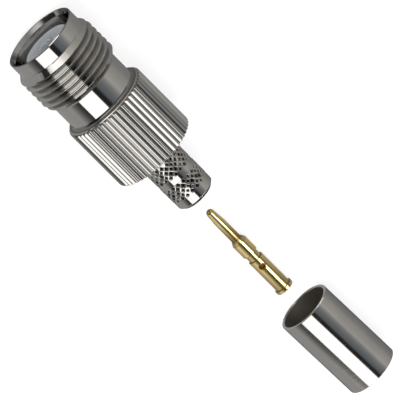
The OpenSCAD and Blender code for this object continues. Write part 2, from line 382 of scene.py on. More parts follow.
def drilledGold(name, look):
    # The drilled bore: thin plating on a rough wall, so that it glows amber in what light gets in.
    material, tree, shader = newMaterial(name)
    shader.inputs["Metallic"].default_value = look["metallic"]
    coords = tree.nodes.new("ShaderNodeTexCoord")
    grain = noiseNode(tree, coords.outputs["Object"], look["grain"], 3.0, 0.6)
    colour = mixColours(tree, grain, look["colourLow"], look["colourHigh"])
    tree.links.new(colour, shader.inputs["Base Color"])
    tree.links.new(rampNode(tree, grain, 0.4, 0.6), shader.inputs["Roughness"])
    return material


drilledMetal = drilledGold("contact_drilled_gold", drilledLook)

plasticLook = {
    "metallic": 0.0,
    "colourLow": (0.74, 0.77, 0.80),
    "colourHigh": (0.80, 0.83, 0.86),
    "roughLow": 0.35,
    "roughHigh": 0.5,
    "lines": 9000.0,
    "mottle": 260.0,
    "bump": 0.1,
    # the grey-blue painted onto the face round the hole and into the hole as shade
    "paintedShadeColour": (0.40, 0.43, 0.46),
    "cavityRough": 0.0,
}


def fluoroPlastic(name):
    # Turned white plastic, which lets a little light in.
    material = turnedMaterial(name, plasticLook)
    shader = material.node_tree.nodes["Principled BSDF"]
    shader.inputs["Subsurface Weight"].default_value = 0.25
    shader.inputs["Subsurface Radius"].default_value = (0.0012, 0.0012, 0.0014)
    shader.inputs["Subsurface Scale"].default_value = 1.0
    shader.inputs["IOR"].default_value = 1.35
    return material


ptfe = fluoroPlastic("insulator_ptfe_plastic")


# the shell: nose, coupling thread, neck and straight-knurled barrel, one turned piece

shell = {
    "lipZ": 20.38,        # from the barrel's rear face to the lip
    "noseR": 4.84,
    "noseZ": 18.56,
    "threadR": 5.475,
    "threadZ": 12.66,
    "threadChamfer": 0.82,
    "pitch": 0.907,
    "threadDepth": 0.56,
    "crestPart": 0.16,        # of the pitch
    "rootPart": 0.08,
    "crestAt": 16.96,        # a crest's place on the side that faces straight up
    "firstTurn": 0.8,        # the first groove runs out from here on, counted in pitches from crestAt
    "lastTurn": -4.15,
    "runOut": 0.35,        # length over which the groove fades out, in turns
    "flankEase": 0.12,        # share of a flank that bends into crest and root
    "threadShadeDull": 0.45,
    "neckR": 4.78,
    "neckRings": (11.2, 9.8),
    "barrelZ": 9.13,
    "footFillet": 0.46,
    "footShadeDull": 0.45,
    "barrelR": 5.662,
    "frontRounding": 0.24,        # how far the cut of the ridges' ends reaches back
    "ringLen": 0.12,        # a narrow ring in front of the grooves
    "ringDrop": 0.10,
    "endSlope": 1.15,        # of the cone behind the ring, which cuts the ends of the ridges
    "endShadeDull": 0.6,
    "rearRounding": 0.14,
    "ridges": 48,
    "ridgeDepth": 0.21,
    "ridgeTurn": math.radians(3.05),
    "landPart": 0.25,        # of the knurl's pitch
    "floorPart": 0.145,
    "ridgeEase": 0.08,
    "grooveShadeDull": 0.3,
    "lipInnerR": 4.60,
    "bevelZ": 0.55,
    "bevelR": 4.35,
    "taperZ": 2.6,
    "boreR": 4.08,
    "boreDepth": 5.3,
    "webZ": 7.5,
    "webR": 3.25,
    "shankR": 4.1,
    "edge": 0.08,
}
shell["floorR"] = shell["barrelR"] - shell["ridgeDepth"]
shell["faceR"] = shell["floorR"] - shell["ringDrop"]

# places of the mesh columns within one pitch of the knurl, close together at the bends
ridgeSteps = np.array([0, .045, .08, .14, .25, .32, .355, .39, .5, .61, .645, .68, .75, .86, .92, .955])


def knurlAngles():
    # Angles round the barrel: the same steps in every pitch, from a groove's middle near
    # straight down.
    pitch = tau / shell["ridges"]
    turns = np.arange(shell["ridges"])[:, None] + ridgeSteps[None, :]
    return math.pi + shell["ridgeTurn"] + turns.ravel() * pitch


def knurlDrop(angles):
    # How far the straight knurl cuts below the crest: full in the groove's floor, none on the
    # land, with straight flanks whose ends are eased.
    part = ((angles - math.pi - shell["ridgeTurn"]) / (tau / shell["ridges"])) % 1.0
    fromGroove = np.minimum(part, 1 - part)
    low = shell["floorPart"] / 2
    high = 0.5 - shell["landPart"] / 2
    eased = easedRamp((fromGroove - low) / (high - low), shell["ridgeEase"])
    return shell["ridgeDepth"] * (1 - eased)


def threadCap(z):
    # The two end cones, which rise from the nose and from the neck.
    s = shell
    front = s["noseR"] + (s["noseZ"] - z) / s["threadChamfer"] * (s["threadR"] - s["noseR"])
    rear = s["neckR"] + (z - s["threadZ"]) / s["threadChamfer"] * (s["threadR"] - s["neckR"])
    return np.minimum(front, rear)


def threadRadius(z, angle):
    # A right-hand thread: the place in the pitch is the axial place less one pitch a turn. The form
    # falls from crest to root in a straight flank with eased bends, and fades out on the two end
    # cones, which cap it.
    s = shell
    turns = (z - s["crestAt"]) / s["pitch"] - angle / tau
    fromCrest = np.minimum(turns % 1.0, 1 - turns % 1.0)
    low = s["crestPart"] / 2
    high = 0.5 - s["rootPart"] / 2
    # the groove's own place in pitches, continuous along it
    groove = np.floor(turns) + 0.5 + angle / tau
    fade = 1 - smoothStep((groove - s["firstTurn"]) / s["runOut"])
    fade = fade * smoothStep((groove - s["lastTurn"]) / s["runOut"])
    depth = s["threadDepth"] * fade
    form = s["threadR"] - depth * easedRamp((fromCrest - low) / (high - low), s["flankEase"])
    cap = threadCap(z)
    blend = 0.03        # rounds the edge where a cone meets a crest
    return np.minimum(form, cap) - np.maximum(blend - np.abs(form - cap), 0) ** 2 / (4 * blend)


# places of the mesh rows within one pitch of the thread, close together at crest and root
threadSteps = np.array([
    0, .045, .085, .13, .20, .30, .39, .44, .48, .52, .56, .61, .70, .80, .87, .915, .955])


def threadGrid(angles):
    # Rows that climb with the helix, so that crest and root run along mesh edges. The columns go
    # once round and one further; rows past an end are held on that end's circle, and the weld later
    # joins all points that coincide.
    s = shell
    turns = int((s["noseZ"] - s["threadZ"]) / s["pitch"]) + 3
    along = np.concatenate([turns - k - threadSteps for k in range(2 * turns)]) * s["pitch"]
    roundAngles = np.concatenate([angles, [angles[0] + tau]])
    lift = (roundAngles - angles[0]) / tau * s["pitch"]
    start = s["crestAt"] + angles[0] / tau * s["pitch"]
    z = np.clip(start + along[:, None] + lift[None, :], s["threadZ"], s["noseZ"])
    used = (z.min(axis=1) < s["noseZ"]) & (z.max(axis=1) > s["threadZ"])
    keep = np.flatnonzero(used)
    z = z[max(keep[0] - 1, 0):keep[-1] + 2]
    a = np.repeat(roundAngles[None, :], len(z), axis=0)
    r = threadRadius(z, a)
    r = np.where(z >= s["noseZ"], s["noseR"], np.where(z <= s["threadZ"], s["neckR"], r))
    return z, r, a


def gridQuads(rows, cols):
    # Quads of an open rows by cols grid.
    i = np.arange(rows - 1)[:, None]
    j = np.arange(cols - 1)[None, :]
    quads = np.stack([i * cols + j, i * cols + j + 1, (i + 1) * cols + j + 1, (i + 1) * cols + j], axis=-1)
    return quads.reshape(-1, 4)


def threadShadeAndDull(z, r, a):
    # Painted shade and a rougher finish towards the root, but not on the end cones.
    s = shell
    sunk = np.where(threadRadius(z, a) < threadCap(z) - 0.05, (s["threadR"] - r) / s["threadDepth"], 0)
    return s["threadShadeDull"] * smoothStep(sunk * 1.6 - 0.6)


def barrelGrid(fine):
    # The neck's foot, the barrel and its rear face, as rows from front to rear.
    s = shell
    fillet, reach, rear = s["footFillet"], s["frontRounding"], s["rearRounding"]
    floorR, faceR, ringLen = s["floorR"], s["faceR"], s["ringLen"]
    crest = s["barrelR"] - knurlDrop(fine)
    rows = []

    def addRow(z, r):
        rows.append((z * np.ones(len(fine)), r * np.ones(len(fine))))

    addRow(s["barrelZ"] + fillet + 0.03, s["neckR"])
    for turn in np.linspace(0, math.pi / 2, 9):
        addRow(s["barrelZ"] + fillet - fillet * np.sin(turn), s["neckR"] + fillet - fillet * np.cos(turn))
    addRow(s["barrelZ"], faceR - 0.05)
    ring = [(0.0, faceR), (0.01, faceR + 0.018), (0.025, faceR + 0.034), (ringLen - 0.015, floorR - 0.012),
            (ringLen, floorR + 0.004)]
    cone = [(ringLen + step, floorR + 0.004 + s["endSlope"] * step)
            for step in np.linspace(0.015, reach, 11)]
    for depth, radius in ring + cone:
        addRow(s["barrelZ"] - depth, np.minimum(crest, radius))
    for z in np.linspace(s["barrelZ"] - ringLen - reach - 0.03, rear + 0.04, 4):
        addRow(z, crest)
    for turn in np.linspace(math.pi / 2, 0, 5):
        addRow(rear - rear * np.cos(turn), crest - rear + rear * np.sin(turn))
    addRow(0, floorR - rear - 0.02)
    addRow(0, s["shankR"] + 0.35)
    z, r = np.array(rows).transpose(1, 0, 2)
    return z, r, np.repeat(fine[None, :], len(rows), axis=0)


def barrelShadeAndDull(z, r, a):
    # Painted shade and a rougher finish in the knurl's grooves, on the cut ends of the ridges and at the
    # neck's foot.
    s = shell
    front = s["barrelZ"] - s["ringLen"]
    crest = s["barrelR"] - knurlDrop(a)
    inGroove = s["grooveShadeDull"] * smoothStep((s["barrelR"] - r) / s["ridgeDepth"] * 4 - 3)
    shadeAndDull = np.where((z <= front) & (z > 0), inGroove, 0)
    onCone = (z < front - 0.01) & (z > front - s["frontRounding"]) & (r < crest - 0.004)
    shadeAndDull = np.where(onCone, s["endShadeDull"], shadeAndDull)
    atFoot = smoothStep((s["barrelZ"] + s["footFillet"] * 1.05 - z) / 0.12)
    atFoot = atFoot * smoothStep((s["faceR"] - 0.05 - r) / 0.1)
    return np.where(z > s["barrelZ"] - 0.01, s["footShadeDull"] * atFoot, shadeAndDull)


def stepFan(coarseStart, fineStart, columns):
    # Three triangles join each step of a coarse ring to two steps of a fine one.
    j = np.arange(columns)
    a0, a1 = coarseStart + j, coarseStart + (j + 1) % columns
    b0, b1, b2 = fineStart + 2 * j, fineStart + 2 * j + 1, fineStart + (2 * j + 2) % (2 * columns)
    return np.concatenate([np.stack(corners, 1) for corners in ((a0, b1, b0), (a0, a1, b1), (a1, b2, b1))])


def makeShell():
    # Rings from the lip round the outside to the rear and back through the inside to the lip.
    # The barrel has twice as many columns as the rest.
    s = shell
    fine = knurlAngles()
    coarse = fine[::2]
    nose = roundedProfile([
        (s["lipZ"], s["lipInnerR"] + 0.1, 0), (s["lipZ"], s["noseR"], s["edge"]),
        (s["noseZ"] + 0.05, s["noseR"], 0), (s["noseZ"], s["noseR"], 0)], 6)[1:]
    neck = np.array([[z, s["neckR"]] for z in (s["threadZ"], s["threadZ"] - 0.04, *s["neckRings"])])
    inner = roundedProfile([
        (0, s["shankR"] + 0.3, 0), (0, s["shankR"], 0.04), (s["webZ"], s["shankR"], 0.03),
        (s["webZ"], s["webR"], 0.04), (s["lipZ"] - s["boreDepth"], s["webR"], 0.04),
        (s["lipZ"] - s["boreDepth"], s["boreR"], 0.08), (s["lipZ"] - s["taperZ"], s["boreR"], 0.3),
        (s["lipZ"] - s["bevelZ"], s["bevelR"], 0.06), (s["lipZ"], s["lipInnerR"], 0.03),
        (s["lipZ"], s["lipInnerR"] + 0.1, 0)], 5)
    thread = threadGrid(coarse)
    barrel = barrelGrid(fine)
    grids = [turnedGrid(nose, coarse), thread, turnedGrid(neck, coarse), barrel, turnedGrid(inner, coarse)]
    points = np.concatenate([onBody(*grid) for grid in grids])
    shadeAndDullParts = [np.zeros_like(grid[0]) for grid in grids]
    shadeAndDullParts[1] = threadShadeAndDull(*thread)
    shadeAndDullParts[3] = barrelShadeAndDull(*barrel)
    shadeAndDull = np.concatenate([part.ravel() for part in shadeAndDullParts])

    # faces of each grid, the seam at the lip, and the two steps between coarse and fine rings
    base = np.cumsum([0] + [grid[0].size for grid in grids])
    nc = len(coarse)
    quads = [(gridQuads(*thread[0].shape) if grid is thread else ringQuads(*grid[0].shape, False)) + start
             for grid, start in zip(grids, base)]
    j = np.arange(nc)
    innerLast = base[5] - nc
    quads.append(np.stack([innerLast + j, innerLast + (j + 1) % nc, (j + 1) % nc, j], axis=-1))
    rearFan = stepFan(base[4], base[4] - 2 * nc, nc)[:, ::-1]
    tris = np.concatenate([stepFan(base[3] - nc, base[3], nc), rearFan])
    obj = addMesh("connector_shell_turned", points, np.concatenate(quads), tris, 40, shadeAndDull)
    weldMesh(obj)
    obj.data.materials.append(shellMetal)
    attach(obj, "root")
    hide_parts("connector_shell")
    return obj


makeShell()
print("shell made")


# the crimp post: shank inside the barrel, stub with two diamond-knurled bands

post = {
    "stubR": 2.65,
    "stubLen": 7.82,
    "endChamfer": 0.42,
    "bandRise": 0.04,
    "boreR": 2.05,
    "shankR": 4.1,
    "shankLen": 4.5,
    "bandStart": 2.22,
    "bandSpacing": 2.98,
    "pits": 20,
    "pitRows": 5,
    "rowSpacing": 0.42,
    "pitWidth": 0.66,
    "pitDepth": 0.26,
    "sizeScatter": 0.13,        # of the pits, as a share of their size
    "placeScatter": 0.035,
    "seed": 7,
    "burr": 0.012,        # raised round each pit
    "shadeDull": 0.95,        # how strongly painted shade darkens the pits and the stub's end edge, which are also rougher
    "bandRows": 58,
    "columns": 320,
}


def pitDrop(z, angle):
    # Depth below the band's surface: each pit is a pyramid standing on its point, so the depth
    # falls with the sum of the two distances from the pit's middle. Neighbouring rows are staggered.
    p = post
    half = p["pitWidth"] / 2
    drop = np.zeros_like(z)
    pitch = tau / p["pits"]
    bandR = p["stubR"] + p["bandRise"]
    rng = np.random.default_rng(p["seed"])
    for middle in (-p["bandStart"], -p["bandStart"] - p["bandSpacing"]):
        for row in range(p["pitRows"]):
            rowZ = middle + (row - (p["pitRows"] - 1) / 2) * p["rowSpacing"]
            shift = (row % 2) / 2
            turn = (angle - math.pi) / pitch - shift
            cell = np.round(turn).astype(int) % p["pits"]
            across = (turn - np.round(turn)) * pitch * bandR
            size = 1 + p["sizeScatter"] * rng.standard_normal(p["pits"])
            off = p["placeScatter"] * rng.standard_normal(p["pits"])
            reach = (np.abs(across) + np.abs(z - rowZ - off[cell])) / (half * size[cell])
            depth = p["pitDepth"] * size[cell] * np.clip(1 - reach, 0, 1) ** 0.9
            lipUp = p["burr"] * np.exp(-((reach - 1.05) / 0.12) ** 2)
            drop = np.maximum(drop, depth) - lipUp * (drop < 0.01)
    return drop


def makePost():
    p = post
    band = p["stubR"] + p["bandRise"]
    halfBand = (p["pitRows"] - 1) * p["rowSpacing"] / 2 + 0.25
    first = -p["bandStart"]
    second = first - p["bandSpacing"]
    c = p["endChamfer"]
    b = p["bandRise"]
    outer = roundedProfile([
        (0, p["stubR"] + 0.5, 0), (0, p["stubR"], 0.05),
        (first + halfBand + b, p["stubR"], 0.03), (first + halfBand, band, 0.02)], 4)
    between = roundedProfile([
        (first - halfBand, band, 0), (first - halfBand - b, p["stubR"], 0.03),
        (second + halfBand + b, p["stubR"], 0.03), (second + halfBand, band, 0)], 4)
    end = roundedProfile([
        (second - halfBand, band, 0), (second - halfBand - b, p["stubR"], 0.03),
        (-p["stubLen"] + c, p["stubR"], 0.10), (-p["stubLen"], p["stubR"] - c, 0.04),
        (-p["stubLen"], p["boreR"], 0.06), (p["shankLen"], p["boreR"], 0.04),
        (p["shankLen"], p["shankR"], 0.06), (0, p["shankR"], 0.05), (0, p["stubR"] + 0.5, 0)], 4)

    def bandProfile(middle):
        along = np.linspace(middle + halfBand - 0.01, middle - halfBand + 0.01, p["bandRows"])
        return np.stack([along, np.full(p["bandRows"], band)], axis=-1)

    stretches = [outer[1:], bandProfile(first), between, bandProfile(second), end]
    profile = np.concatenate(stretches)
    inBand = np.concatenate([np.full(len(part), i in (1, 3)) for i, part in enumerate(stretches)])
    z, r, a = turnedGrid(profile, math.pi + evenAngles(p["columns"]))
    drop = pitDrop(z[inBand], a[inBand])
    r[inBand] -= drop
    # painted shade, with a rougher finish, in the pits and on the stub's end chamfer
    shadeAndDull = np.zeros_like(r)
    shadeAndDull[inBand] = p["shadeDull"] * smoothStep(drop / p["pitDepth"] * 1.6 - 0.1)
    shadeAndDull = np.where((z < -p["stubLen"] + c * 0.9) & (r > p["boreR"] + 0.05), p["shadeDull"], shadeAndDull)
    faces = ringQuads(len(profile), p["columns"], True)
    obj = addMesh("crimp_post_turned", onBody(z, r, a), faces, None, 32, shadeAndDull.ravel())
    obj.data.materials.append(postMetal)
    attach(obj, "root")
    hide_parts("crimp_post")
    return obj


makePost()
print("crimp post made")


# the insulator

plug = {
    "collarR": 4.07,
    "collarZ": 4.5,
    "webZ": 7.5,
    "frontR": 3.22,
    "faceZ": 19.23,
    "edge": 0.12,
    "holeR": 1.05,
    "seatR": 1.245,
    "seatDepth": 0.5,
    "faceShadeDull": 0.62,        # painted shade on the face, strongest at the hole's edge; it fades towards the rim
    "holeShadeDull": 0.35,
    "columns": 160,
}


def makeInsulator():
    p = plug
    profile = roundedProfile([
        (p["faceZ"], p["holeR"] + 0.8, 0), (p["faceZ"], p["holeR"] + 1.4, 0),
        (p["faceZ"], p["frontR"], p["edge"]),
        (p["webZ"], p["frontR"], 0.03), (p["webZ"], p["collarR"], 0.06),
        (p["collarZ"], p["collarR"], 0.06), (p["collarZ"], p["seatR"], 0.04),
        (p["collarZ"] + p["seatDepth"], p["seatR"], 0.03),
        (p["collarZ"] + p["seatDepth"], p["holeR"], 0.03),
        (p["faceZ"] - 0.04, p["holeR"], 0.03), (p["faceZ"], p["holeR"] + 0.04, 0.03),
        (p["faceZ"], p["holeR"] + 0.4, 0), (p["faceZ"], p["holeR"] + 0.8, 0)], 6)[:-1]
    z, r, a = turnedGrid(profile, evenAngles(p["columns"]))
    # painted shade: the face darkens towards the hole, and the hole's wall is darker
    shadeAndDull = 1 - smoothStep((r - p["holeR"]) / (p["frontR"] - p["holeR"]) * 0.9)
    shadeAndDull = np.where((z > p["faceZ"] - 3) & (r < p["frontR"] + 0.01), p["faceShadeDull"] * shadeAndDull, 0)
    shadeAndDull = np.where(r < p["holeR"] + 0.01, p["holeShadeDull"], shadeAndDull)
    faces = ringQuads(len(profile), p["columns"], True)
    obj = addMesh("insulator_turned", onBody(z, r, a), faces, None, 35, shadeAndDull.ravel())
    obj.data.materials.append(ptfe)
    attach(obj, "root")
    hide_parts("insulator")
    return obj


makeInsulator()
print("insulator made")


# the centre contact: turned pin, drilled from the side for inspection

pin = {
    "flangeR": 1.215,
    "flangeLen": 0.5,
    "barrelR": 1.02,
    "crimpLen": 4.94,
    "grooveR": 0.835,
    "grooveLen": 0.92,
    "shoulderLen": 2.02,
    "coneLen": 0.60,
    "pinR": 0.66,
    "pinLen": 2.79,
    "taperLen": 1.68,
    "tipR": 0.53,
    "tipLen": 0.56,
    "boreR": 0.73,
    "boreLen": 5.0,
    "holeR": 0.47,
    "holeAt": 4.34,
    "holeTurn": math.radians(8),
    "flangeEdge": 0.05,
    "stepShadeDull": 0.75,
    "coneShadeDull": 0.8,
    "columns": 160,
    "drillColumns": 64,
}


def contactShadeAndDull(profile, steps, coneEnd):
    # Painted shade and a rougher finish in the corners of the steps and on the cone between shoulder and
    # pin.
    sunk = np.zeros(len(profile))
    for place, reach in zip(steps, (0.10, 0.07, 0.07, 0.05)):
        sunk = np.maximum(sunk, pin["stepShadeDull"] * np.clip(1.3 - np.abs(profile[:, 0] - place) / reach, 0, 1))
    onCone = (profile[:, 0] > steps[-1] + 0.06) & (profile[:, 0] < coneEnd + 0.08)
    return np.where(onCone, pin["coneShadeDull"], sunk)


def drillContact(obj):
    # The inspection hole, with a small flare where it breaks through the surface.
    p = pin
    drill = roundedProfile([
        (-0.3, p["holeR"], 0), (p["barrelR"] - 0.05, p["holeR"], 0.03),
        (p["barrelR"] + 0.02, p["holeR"] + 0.03, 0.02), (p["barrelR"] + 0.4, p["holeR"] + 0.4, 0)], 5)
    h, r, a = turnedGrid(drill, evenAngles(p["drillColumns"]))
    points = np.stack([p["holeAt"] + r * np.cos(a), r * np.sin(a), h], axis=-1).reshape(-1, 3)
    points = np.concatenate([points, [[p["holeAt"], 0, drill[0, 0]], [p["holeAt"], 0, drill[-1, 0]]]])
    cutter = addMesh("drillTool", points, ringQuads(*h.shape, False), poleFans(*h.shape))
    cutter.data.transform(Matrix.Rotation(-p["holeTurn"], 4, "X"))
    cut = obj.modifiers.new("inspectionHole", "BOOLEAN")
    cut.operation = "DIFFERENCE"
    cut.solver = "EXACT"
    cut.object = cutter
    bpy.context.view_layer.update()
    drilled = bpy.data.meshes.new_from_object(obj.evaluated_get(bpy.context.evaluated_depsgraph_get()))
    obj.modifiers.clear()
    obj.data = drilled
    bpy.data.objects.remove(cutter)
    obj.data.materials.clear()
    smoothFaces(obj.data, 35)


def drilledFaces(mesh):
    # Which faces lie inside the wire bore or are the hole's own wall below the contact's surface.
    p = pin
    centres = np.zeros(len(mesh.polygons) * 3)
    mesh.polygons.foreach_get("center", centres)
    centres = centres.reshape(-1, 3) / mm
    fromAxis = np.hypot(centres[:, 1], centres[:, 2])
    inBore = (fromAxis < p["boreR"] + 0.01) & (centres[:, 0] < p["boreLen"] + 0.6) & (centres[:, 0] > 0.08)
    acrossHole = centres[:, 1] * math.cos(p["holeTurn"]) - centres[:, 2] * math.sin(p["holeTurn"])
    nearHole = np.hypot(centres[:, 0] - p["holeAt"], acrossHole) < p["holeR"] + 0.02
    return inBore | nearHole & (fromAxis < p["barrelR"] - 0.05) & (centres[:, 2] > 0)


def makeContact():
    p = pin
    stretches = ("flange", "crimp", "groove", "shoulder", "cone", "pin", "taper", "tip")
    lengths = [p[part + "Len"] for part in stretches]
    z1, z2, z3, z4, z5, z6, z7, z8 = np.cumsum(lengths).tolist()
    body = roundedProfile([
        (p["boreLen"] + 0.44, 0.0, 0), (p["boreLen"], p["boreR"], 0.03), (0, p["boreR"], 0.05),
        (0, p["flangeR"], 0.08), (z1, p["flangeR"], 0.06), (z1, p["barrelR"], 0.04),
        (z2, p["barrelR"], 0.05), (z2, p["grooveR"], 0.03), (z3, p["grooveR"], 0.03),
        (z3, p["barrelR"], 0.05), (z4, p["barrelR"], 0.1), (z5, p["pinR"], 0.12),
        (z6, p["pinR"], 1.0), (z7, p["tipR"], 0)], 6)
    turn = np.linspace(0, math.pi / 2, 14)
    tip = np.stack([z7 + p["tipLen"] * np.sin(turn), p["tipR"] * np.cos(turn) ** 0.9], axis=-1)[1:-1]
    profile = np.concatenate([body[1:], tip])
    z, r, a = turnedGrid(profile, evenAngles(p["columns"]))
    points = np.concatenate([alongX(z, r, a, 0, 0, 0).reshape(-1, 3), [[body[0, 0], 0, 0], [z8, 0, 0]]])
    sunk = contactShadeAndDull(profile, (z1, z2, z3, z4), z5)
    shadeAndDull = np.concatenate([np.repeat(sunk, p["columns"]), [0, 0]])
    faces, poles = ringQuads(*z.shape, False), poleFans(*z.shape)
    obj = addMesh("centre_contact_turned", points, faces, poles, 35, shadeAndDull)
    drillContact(obj)
    inBore = drilledFaces(obj.data)

    # it lies on its flange and on the front edge of its shoulder
    tilt = math.atan((p["flangeR"] - p["barrelR"]) / (z4 - p["flangeEdge"]))
    height = p["flangeR"] * math.cos(tilt) + p["flangeEdge"] * math.sin(tilt)
    rearX = contactHigh[0] - z8 * math.cos(tilt)
    place = Matrix.Translation((rearX * mm, contactSide * mm, height * mm))
    obj.data.transform(place @ Matrix.Rotation(tilt, 4, "Y"))
    obj.data.materials.append(goldMetal)
    obj.data.materials.append(drilledMetal)
    obj.data.polygons.foreach_set("material_index", inBore.astype(np.int32))
    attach(obj, "root")
    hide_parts("centre_contact")
    return obj


makeContact()
print("contact made")


# the crimp ferrule: a plain drawn tube, turned a little on the table

tube = {
    "outerR": 3.575,
    "innerR": 3.2,
    "length": 12.05,
    "edge": 0.07,
    "turn": math.radians(1.7),
    "columns": 256,
}


def makeFerrule():
    p = tube
    half = p["length"] / 2
    profile = roundedProfile([
        (0, p["outerR"], 0), (half, p["outerR"], p["edge"]), (half, p["innerR"], p["edge"]),
        (-half, p["innerR"], p["edge"]), (-half, p["outerR"], p["edge"]), (0, p["outerR"], 0)], 7)[:-1]
    z, r, a = turnedGrid(profile, evenAngles(p["columns"]))
    verts = alongX(z, r, a, 0, 0, 0).reshape(-1, 3)
    c, s = math.cos(p["turn"]), math.sin(p["turn"])
    x, y = verts[:, 0].copy(), verts[:, 1].copy()
    verts[:, 0] = ferruleAxis["midX"] + c * x - s * y
    verts[:, 1] = ferruleAxis["side"] + s * x + c * y
    verts[:, 2] += ferruleAxis["height"]
    faces = ringQuads(len(profile), p["columns"], True)
    obj = addMesh("crimp_ferrule_tube", verts, faces)
    obj.data.materials.append(ferruleMetal)
    obj.data.materials.append(tubeShadedInsideMetal)
    inside = r.ravel()[faces].max(axis=1) < p["innerR"] + 0.01
    obj.data.polygons.foreach_set("material_index", inside.astype(np.int32))
    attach(obj, "root")
    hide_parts("crimp_ferrule")
    return obj


makeFerrule()
print("ferrule made")


studio = {
    "tableHalf": 3.0,
    "tunnelRadius": 0.6,
    "tunnelHalf": 1.6,
    "sheetReach": 0.62,        # of the dark sheet to each side
    "patchLift": 0.005,
    "cardLift": 0.0004,        # keeps cards clear of the sheet, and the sheet of the table
    "white": 2.0,        # the strip light's level; it is well above paper white
    "paper": 0.72,        # the table's level where the camera or a reflection sees it
    "tableGrey": 0.35,
    "lightSize": 0.6,
    "worldLevel": 0.4,
}

# angle from straight up towards the right of the picture, level, and tint of the tunnel there
warm, cool, plain = (1.0, 0.97, 0.93), (0.86, 0.97, 1.08), (1.0, 1.0, 1.0)
tunnelStops = [
    (-90, 0.40, plain), (-84, 0.34, plain), (-75, 0.20, plain), (-66, 0.10, plain), (-60, 0.06, plain),
    (-53.2, 0.05, plain), (-51.6, 2.0, plain), (-3.0, 2.0, plain), (-1.2, 0.02, plain), (12, 0.03, plain),
    (16, 0.14, cool), (20, 0.18, cool), (32, 0.23, cool), (42, 0.29, plain), (49, 0.40, plain),
    (56, 0.54, plain), (66, 0.50, warm), (77, 0.46, warm), (90, 0.43, warm),
]

# the same for the dark sheet that lies on the table in reflections: sideways place in mm and level
sheetSpan = 240.0
sheetStops = [
    (-120, 0.42), (-40, 0.38), (-14, 0.30), (-8, 0.25), (-4, 0.12), (4, 0.12), (8, 0.40), (14, 0.42),
    (120, 0.44),
]


def stageMaterial(name):
    material = bpy.data.materials.new(name)
    material.use_nodes = True
    material.node_tree.nodes.clear()
    return material, material.node_tree


def onlyReflected(obj):
    obj.visible_camera = False
    obj.visible_diffuse = False
    obj.visible_shadow = False
    obj.visible_transmission = False
    obj.visible_volume_scatter = False


def rampFrom(tree, factor, stops):
    # A colour ramp through stops (place 0..1, linear colour).
    ramp = tree.nodes.new("ShaderNodeValToRGB")
    ramp.color_ramp.interpolation = "LINEAR"
    elements = ramp.color_ramp.elements
    elements.remove(elements[-1])
    for i, (place, colour) in enumerate(stops):
        if i == 0:
            elements[0].position = place
        element = elements[0] if i == 0 else elements.new(place)
        element.color = (*colour, 1)
    tree.links.new(factor, ramp.inputs["Fac"])
    return ramp.outputs["Color"]


def glowMaterial(name, strength, build=None):
    # An emission material; build gives the colour socket for its node tree, a plain card has none.
    material, tree = stageMaterial(name)
    glow = tree.nodes.new("ShaderNodeEmission")
    glow.inputs["Strength"].default_value = strength
    glow.inputs["Color"].default_value = (1, 1, 1, 1)
    if build:
        tree.links.new(build(tree), glow.inputs["Color"])
    out = tree.nodes.new("ShaderNodeOutputMaterial")
    tree.links.new(glow.outputs[0], out.inputs[0])
    return material


def tinted(level, tint, white=studio["white"]):
    return tuple(level / white * t for t in tint)


def addArch(name, angles, xs, radius, stops, lift, side=0.0, white=studio["white"]):
    # Part of a tunnel round the X axis, seen only in reflections: columns at angles from straight
    # up towards -Y, rings at xs. The UV map's first value runs 0..1 along the angles, and stops
    # (place 0..1, linear colour) say how it glows there.
    turn = np.radians(angles)
    n = len(turn)
    verts = [(x, side - radius * math.sin(t), lift + radius * math.cos(t)) for x in xs for t in turn]
    mesh = bpy.data.meshes.new(name)
    mesh.from_pydata(verts, [], [(i, i + 1, n + i + 1, n + i) for i in range(n - 1)])
    layer = mesh.uv_layers.new(name="archUv")
    for loop in mesh.loops:
        i, k = loop.vertex_index % n, loop.vertex_index // n
        layer.data[loop.index].uv = ((turn[i] - turn[0]) / (turn[-1] - turn[0]), k)

    def build(tree):
        uv = tree.nodes.new("ShaderNodeUVMap")
        uv.uv_map = "archUv"
        split = tree.nodes.new("ShaderNodeSeparateXYZ")
        tree.links.new(uv.outputs[0], split.inputs[0])
        return rampFrom(tree, split.outputs["X"], stops)

    mesh.materials.append(glowMaterial(name, white, build))
    onlyReflected(linkObject(name, mesh))


def addFlat(name, corners, material):
    # A flat card with four corners in metres.
    mesh = bpy.data.meshes.new(name)
    mesh.from_pydata(corners, [], [(0, 1, 2, 3)])
    mesh.materials.append(material)
    return linkObject(name, mesh)


def level(x0, x1, y0, y1, z):
    # The corners of a card that lies level.
    return [(x0, y0, z), (x1, y0, z), (x1, y1, z), (x0, y1, z)]


def makeTable():
    # White table: its own paper white is emitted to camera, glossy and transmission rays, and the
    # rest is a plain diffuse sheet that carries the shadow.
    material, tree = stageMaterial("table_paper")
    diffuse = tree.nodes.new("ShaderNodeBsdfDiffuse")
    diffuse.inputs["Color"].default_value = (*[studio["tableGrey"]] * 3, 1)
    glow = tree.nodes.new("ShaderNodeEmission")
    path = tree.nodes.new("ShaderNodeLightPath")
    seen = mathNode(tree, "MAXIMUM", path.outputs["Is Glossy Ray"], path.outputs["Is Transmission Ray"])
    seen = mathNode(tree, "MAXIMUM", path.outputs["Is Camera Ray"], seen)
    tree.links.new(mathNode(tree, "MULTIPLY", seen, studio["paper"]), glow.inputs["Strength"])
    add = tree.nodes.new("ShaderNodeAddShader")
    tree.links.new(diffuse.outputs[0], add.inputs[0])
    tree.links.new(glow.outputs[0], add.inputs[1])
    out = tree.nodes.new("ShaderNodeOutputMaterial")
    tree.links.new(add.outputs[0], out.inputs[0])
    h = studio["tableHalf"]
    addFlat("table_top", level(-h, h, -h, h, 0), material)


def makeTunnel():
    half = studio["tunnelHalf"]
    stops = [((angle + 90) / 180, tinted(glow, tint)) for angle, glow, tint in tunnelStops]
    addArch("studio_tunnel", np.linspace(-90, 90, 181), [-half, half], studio["tunnelRadius"], stops,
            studio["cardLift"])


